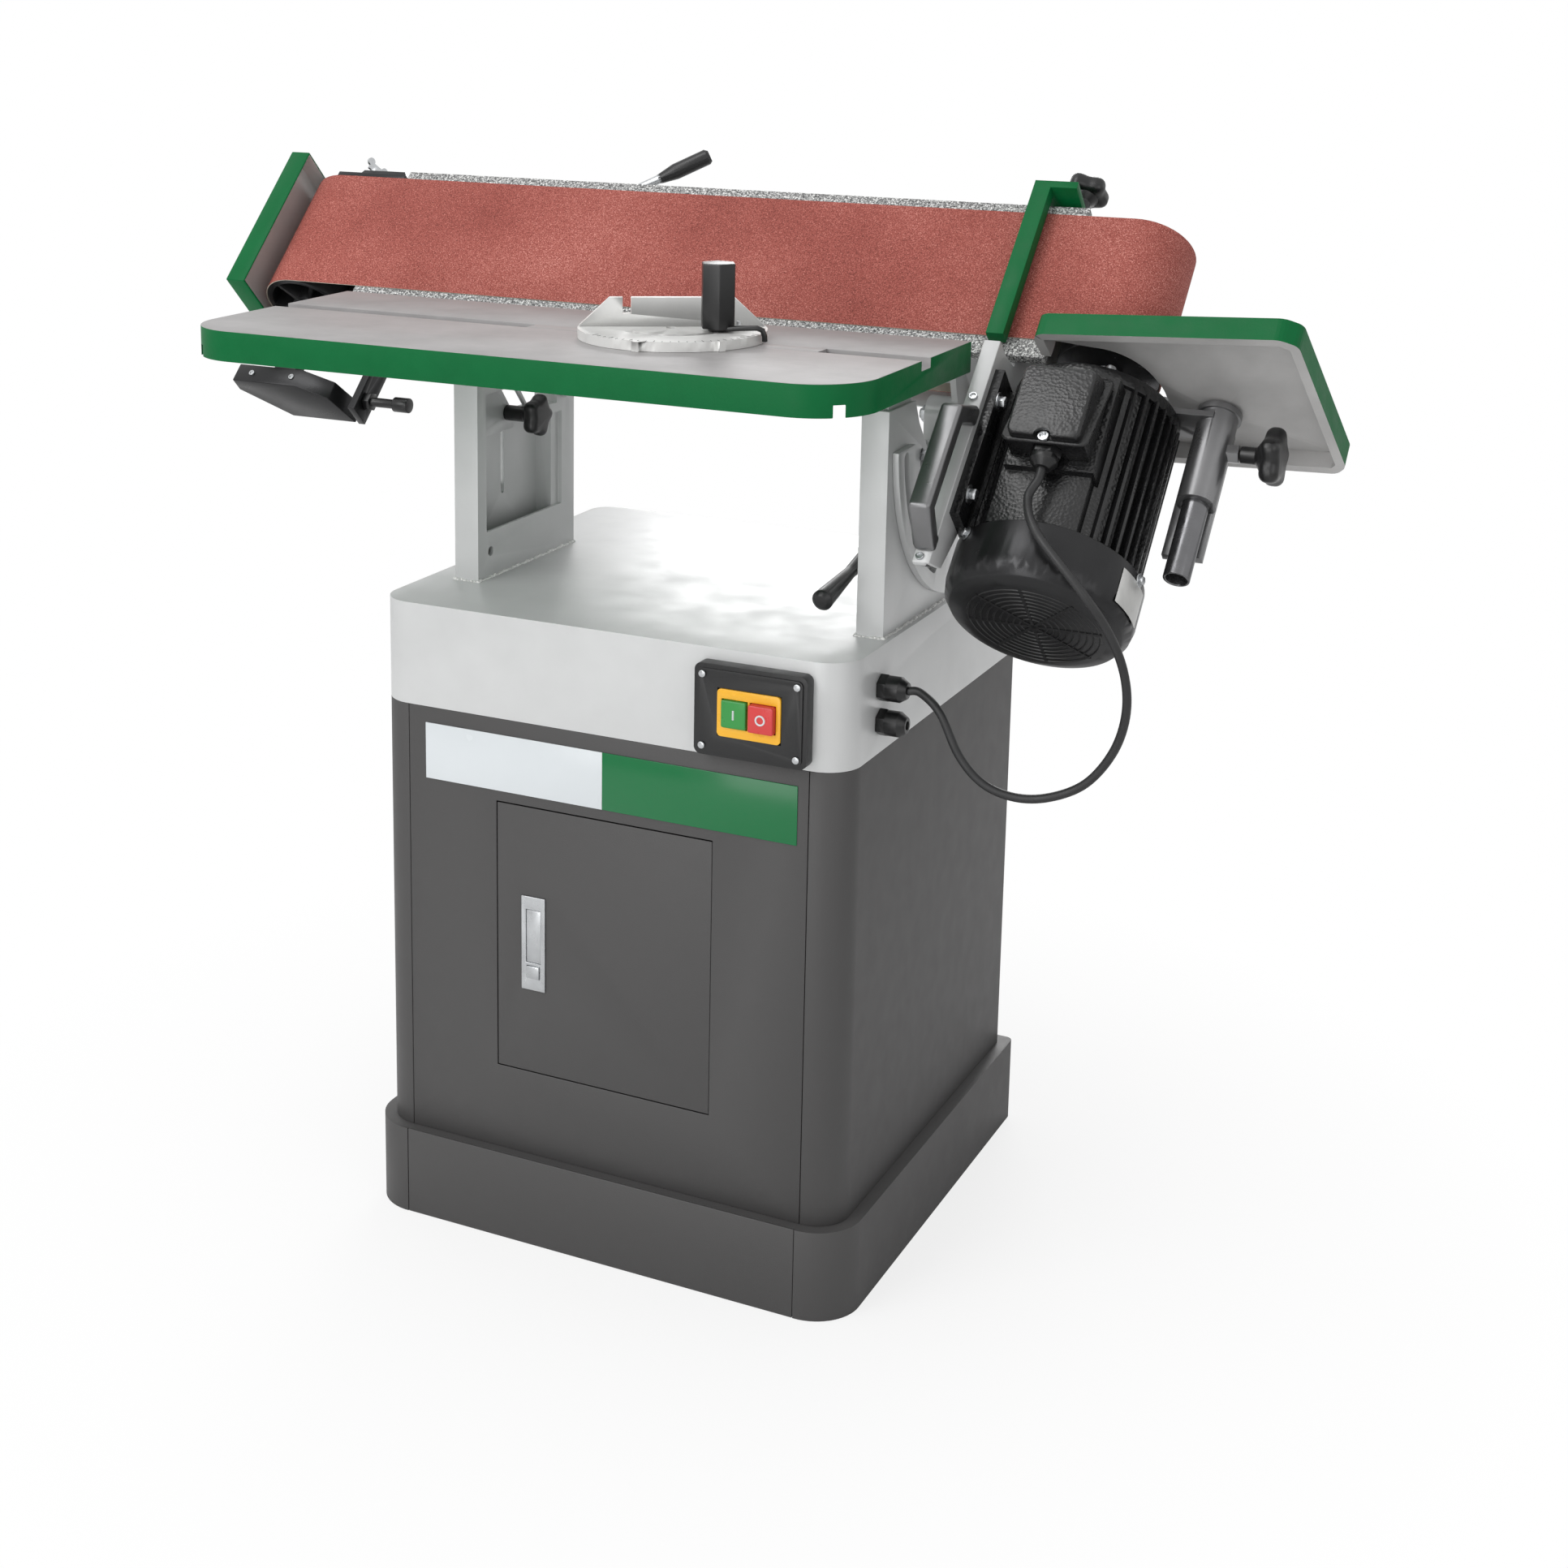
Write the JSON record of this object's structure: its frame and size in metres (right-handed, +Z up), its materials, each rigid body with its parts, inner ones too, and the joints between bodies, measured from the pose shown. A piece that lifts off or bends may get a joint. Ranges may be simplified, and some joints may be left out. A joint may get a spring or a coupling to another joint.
{
  "type": "edge sander",
  "caption": "Edge sander with a wide abrasive belt on a tilting beam, a lift table with mitre gauge, a contour table by the drive drum and a cabinet stand.",
  "frame": {"origin": "on the floor under the middle of the cabinet", "axes": "+X to the right along the table, +Y away from the operator, +Z up"},
  "size_m": [1.184, 0.5965, 1.055],
  "materials": {
    "dark_paint": "fine textured powder coat",
    "pale_paint": "smooth silver grey enamel",
    "green_paint": "hammered gloss enamel",
    "black_paint": "semi-gloss black enamel",
    "black_plastic": "moulded satin",
    "steel": "zinc plated",
    "cast_table": "ground and lightly brushed",
    "cast_alloy": "tumbled casting",
    "drum_alloy": "turned",
    "drum_black": "black coated",
    "abrasive": "coated abrasive cloth",
    "graphite": "speckled graphite cloth",
    "badge_pale": "printed panel, bare",
    "badge_green": "printed panel, bare",
    "switch_yellow": "moulded",
    "button_green": "moulded",
    "button_red": "moulded",
    "plate_alloy": "brushed, bare",
    "lead_rubber": "extruded sheath"
  },
  "bodies": {
    "stand": {"floor_pan": "dark_paint", "plinth_shell": "dark_paint", "plinth_front": "dark_paint", "cabinet_shell": "dark_paint", "front_panel": "dark_paint", "top_housing": "pale_paint", "left_post": "pale_paint", "right_post": "pale_paint", "badge_left": "badge_pale", "badge_right": "badge_green", "switch_box": "black_plastic", "switch_plate": "switch_yellow", "switch_screws": "steel", "cable_glands": "black_plastic", "pivot_bolts": "steel", "motor_lead": "lead_rubber"},
    "start_button": {"start_button": "button_green"},
    "stop_button": {"stop_button": "button_red"},
    "clamp_lever": {"clamp_lever": "black_plastic"},
    "door": {"door_panel": "dark_paint", "latch_plate": "steel"},
    "latch_paddle": {"latch_paddle": "steel"},
    "latch_button": {"latch_button": "steel"},
    "table": {"table_top": "cast_table", "left_table_bracket": "steel", "right_table_bracket": "steel", "lock_bolts": "steel"},
    "left_lock": {"left_lock_knob": "black_plastic"},
    "right_lock": {"right_lock_knob": "black_plastic"},
    "mitre_bar": {"mitre_bar": "steel"},
    "mitre_head": {"mitre_head": "cast_alloy"},
    "mitre_handle": {"mitre_handle": "black_plastic"},
    "belt_unit": {"main_beam": "pale_paint", "pivot_ear": "pale_paint", "tilt_sector": "pale_paint", "platen": "graphite", "sanding_belt": "abrasive", "rear_guard": "pale_paint", "left_guard": "green_paint", "motor_bracket": "pale_paint", "grip_handle": "black_paint", "motor_stator": "black_paint", "fan_cover": "black_paint", "terminal_box": "black_plastic", "terminal_lid": "black_plastic", "motor_gland": "black_plastic", "rating_plate": "plate_alloy", "sleeve_bracket": "black_paint"},
    "drive_drum": {"drive_drum": "drum_alloy"},
    "idler_carriage": {"idler_yoke": "black_paint", "idler_cover": "black_paint"},
    "idler_drum": {"idler_drum": "drum_black"},
    "wing_screw": {"wing_screw": "steel"},
    "tension_lever": {"tension_lever": "black_paint"},
    "tension_screw": {"tension_screw": "steel"},
    "stop_bar": {"stop_bar": "green_paint"},
    "stop_knob": {"stop_knob": "black_plastic"},
    "contour": {"contour_table": "green_paint", "contour_column": "steel"},
    "contour_knob": {"contour_knob": "black_plastic"}
  },
  "joints": [
    {"name": "belt_unit_tilt", "type": "hinge", "parent": "stand", "child": "belt_unit", "pos_m": [0, 0.04438, 0.8222], "axis": [-1, 0, 0], "range_deg": [-45, 10], "deforming": ["motor_lead"]},
    {"name": "tilt_clamp", "type": "hinge", "parent": "stand", "child": "clamp_lever", "pos_m": [0.216, -0.04962, 0.70403], "axis": [-1, 0, 0], "range_deg": [0, 35]},
    {"name": "table_lift", "type": "slide", "parent": "stand", "child": "table", "axis": [0, 0, 1], "range_m": [-0.022, 0.003]},
    {"name": "left_lock_turn", "type": "hinge", "parent": "table", "child": "left_lock", "pos_m": [-0.209, -0.049, 0.8], "axis": [1, 0, 0], "continuous": true},
    {"name": "right_lock_turn", "type": "hinge", "parent": "table", "child": "right_lock", "pos_m": [0.233, -0.049, 0.8], "axis": [-1, 0, 0], "continuous": true},
    {"name": "mitre_slide", "type": "slide", "parent": "table", "child": "mitre_bar", "axis": [1, 0, 0], "range_m": [-0.25, 0.09]},
    {"name": "mitre_turn", "type": "hinge", "parent": "mitre_bar", "child": "mitre_head", "pos_m": [0.042, -0.176, 0.914], "axis": [0, 0, 1], "range_deg": [0, 120]},
    {"name": "mitre_clamp", "type": "hinge", "parent": "mitre_bar", "child": "mitre_handle", "pos_m": [0.088, -0.176, 0.924], "axis": [0, 0, 1], "continuous": true},
    {"name": "door_swing", "type": "hinge", "parent": "stand", "child": "door", "pos_m": [0.11765, -0.235, 0.317], "axis": [0, 0, 1], "range_deg": [0, 110]},
    {"name": "latch_paddle_lift", "type": "hinge", "parent": "door", "child": "latch_paddle", "pos_m": [-0.073, -0.235, 0.3492], "axis": [-1, 0, 0], "range_deg": [0, 40], "stiffness_Nm_per_rad": 0.2},
    {"name": "latch_button_press", "type": "slide", "parent": "door", "child": "latch_button", "axis": [0, 1, 0], "range_m": [0, 0.003], "stiffness_N_per_m": 400},
    {"name": "start_press", "type": "slide", "parent": "stand", "child": "start_button", "axis": [0, 1, 0], "range_m": [0, 0.003], "stiffness_N_per_m": 500},
    {"name": "stop_press", "type": "slide", "parent": "stand", "child": "stop_button", "axis": [0, 1, 0], "range_m": [0, 0.004], "stiffness_N_per_m": 500},
    {"name": "drive_spin", "type": "hinge", "parent": "belt_unit", "child": "drive_drum", "pos_m": [0.394, 0.08574, 0.92932], "axis": [0, 0.7071, 0.7071], "continuous": true},
    {"name": "idler_shift", "type": "slide", "parent": "belt_unit", "child": "idler_carriage", "axis": [1, 0, 0], "range_m": [0, 0.012]},
    {"name": "idler_spin", "type": "hinge", "parent": "idler_carriage", "child": "idler_drum", "pos_m": [-0.51, 0.08574, 0.92932], "axis": [0, 0.7071, 0.7071], "continuous": true},
    {"name": "wing_turn", "type": "hinge", "parent": "idler_carriage", "child": "wing_screw", "pos_m": [-0.504, 0.15822, 1.01382], "axis": [0, 0.7071, 0.7071], "continuous": true},
    {"name": "tension_lever_turn", "type": "hinge", "parent": "belt_unit", "child": "tension_lever", "pos_m": [-0.228, 0.14974, 0.99402], "axis": [0, -0.7071, 0.7071], "range_deg": [0, 100]},
    {"name": "tension_screw_turn", "type": "hinge", "parent": "belt_unit", "child": "tension_screw", "pos_m": [-0.4, -0.01926, 0.78967], "axis": [1, 0, 0], "continuous": true},
    {"name": "stop_shift", "type": "slide", "parent": "belt_unit", "child": "stop_bar", "axis": [0, -0.7071, 0.7071], "range_m": [0, 0.015]},
    {"name": "stop_knob_turn", "type": "hinge", "parent": "belt_unit", "child": "stop_knob", "pos_m": [0.319, 0.15681, 1.0011], "axis": [0, 0.7071, 0.7071], "continuous": true},
    {"name": "contour_lift", "type": "slide", "parent": "belt_unit", "child": "contour", "axis": [0, 0.7071, 0.7071], "range_m": [0, 0.055]},
    {"name": "contour_knob_turn", "type": "hinge", "parent": "belt_unit", "child": "contour_knob", "pos_m": [0.516, -0.00795, 0.8222], "axis": [1, 0, 0], "continuous": true}
  ],
  "couplings": [
    {"joint": "idler_spin", "follows": "drive_spin", "ratio": 1},
    {"joint": "tension_lever_turn", "follows": "idler_shift", "rad_per_m": 145.43}
  ]
}
